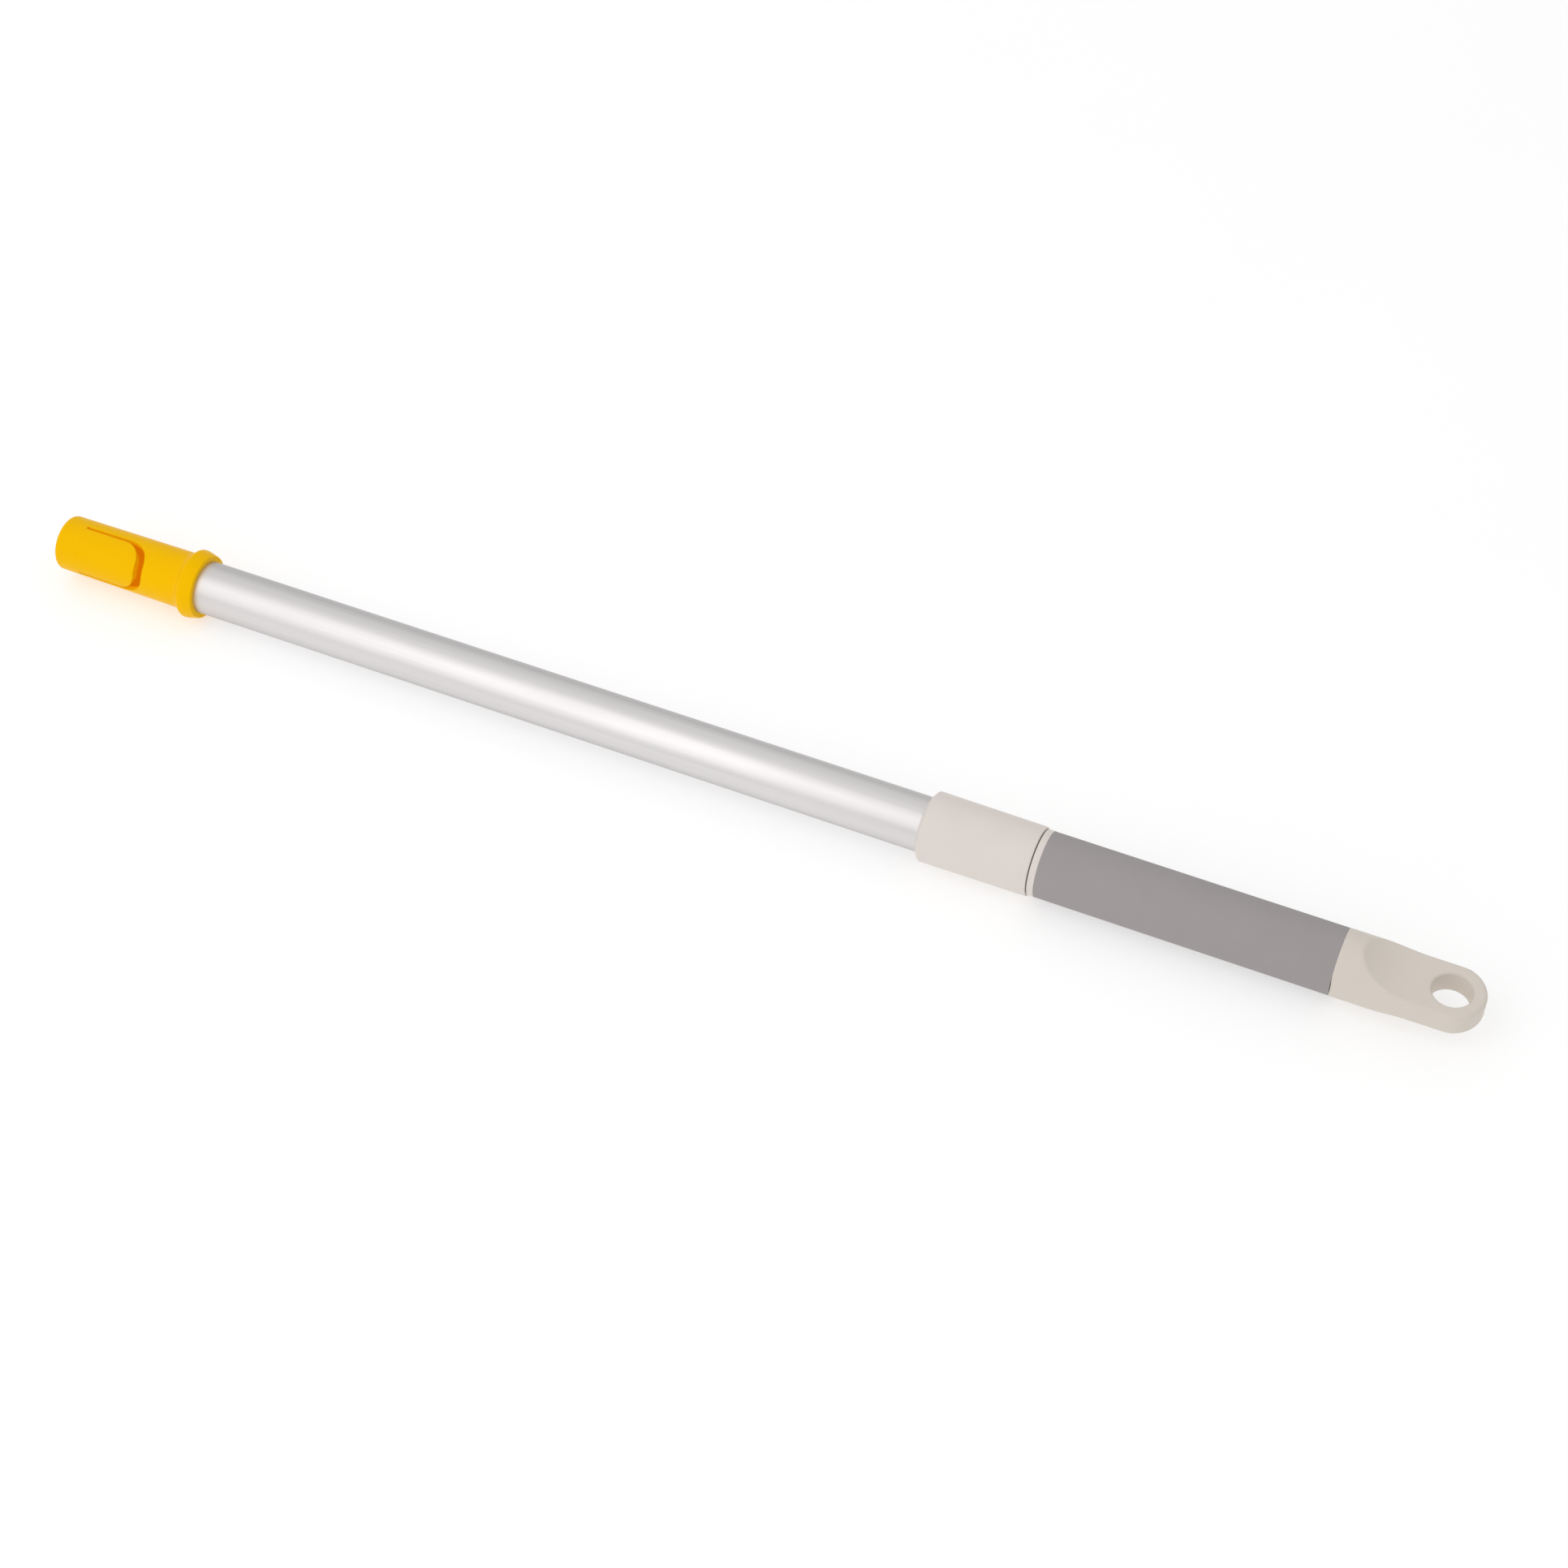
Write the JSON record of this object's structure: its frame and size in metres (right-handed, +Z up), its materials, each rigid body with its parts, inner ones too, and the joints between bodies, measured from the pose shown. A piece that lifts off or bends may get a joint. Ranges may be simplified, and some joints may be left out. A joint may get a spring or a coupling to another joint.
{
  "type": "window cleaning pole",
  "caption": "Telescopic hand pole with a click-fit tool connector, a twist-lock collar, a soft grip sleeve and a flat end with a hang hole.",
  "frame": {"origin": "middle of the bounding box's underside, with the pole closed and lying on a flat surface", "axes": "+X along the pole from the tool connector to the hang hole, +Z up and square to the flat end, +Y across the pole"},
  "size_m": [0.6866, 0.0332, 0.0331],
  "materials": {
    "yellow_plastic": "moulded, satin, golden yellow",
    "satin_aluminium": "satin anodised, fine grain along the tube",
    "off_white_plastic": "moulded, satin, warm off-white",
    "grey_grip": "soft touch, matt, mid grey",
    "dark_plastic": "moulded, matt, dark grey",
    "natural_plastic": "moulded, satin, natural",
    "steel": "plain"
  },
  "bodies": {
    "pole": {"connector_body": "yellow_plastic", "connector_pin": "steel", "outer_tube": "satin_aluminium", "lock_bush": "dark_plastic", "bush_pin_front": "steel", "bush_pin_back": "steel", "guide_bush": "natural_plastic"},
    "latch_tongue": {"connector_tongue": "yellow_plastic"},
    "collet": {"clamp_collet": "natural_plastic"},
    "collar": {"lock_collar": "off_white_plastic", "collar_end_ring": "dark_plastic"},
    "glide": {"glide_ring": "natural_plastic"},
    "handle": {"inner_tube": "satin_aluminium", "tube_plug": "dark_plastic", "plug_pin": "steel", "handle_core": "off_white_plastic", "core_pin": "steel", "grip_sleeve": "grey_grip", "end_cap": "off_white_plastic", "cap_pin": "steel"}
  },
  "joints": [
    {"name": "tongue_press", "type": "hinge", "parent": "pole", "child": "latch_tongue", "pos_m": [-0.33105, -0.00769, 0.02215], "axis": [0, 0.5878, 0.809], "range_deg": [0, 2.2], "stiffness_Nm_per_rad": 2},
    {"name": "collet_advance", "type": "slide", "parent": "pole", "child": "collet", "axis": [-1, 0, 0], "range_m": [0, 0.001]},
    {"name": "collar_turn", "type": "hinge", "parent": "collet", "child": "collar", "pos_m": [0.12035, 0, 0.01656], "axis": [-1, 0, 0], "range_deg": [0, 90]},
    {"name": "pole_extend", "type": "slide", "parent": "pole", "child": "glide", "axis": [1, 0, 0], "range_m": [0, 0.312]},
    {"name": "handle_spin", "type": "hinge", "parent": "glide", "child": "handle", "pos_m": [-0.23225, 0, 0.01656], "axis": [1, 0, 0], "continuous": true}
  ],
  "couplings": [
    {"joint": "collet_advance", "follows": "collar_turn", "m_per_rad": 0.00063662}
  ]
}
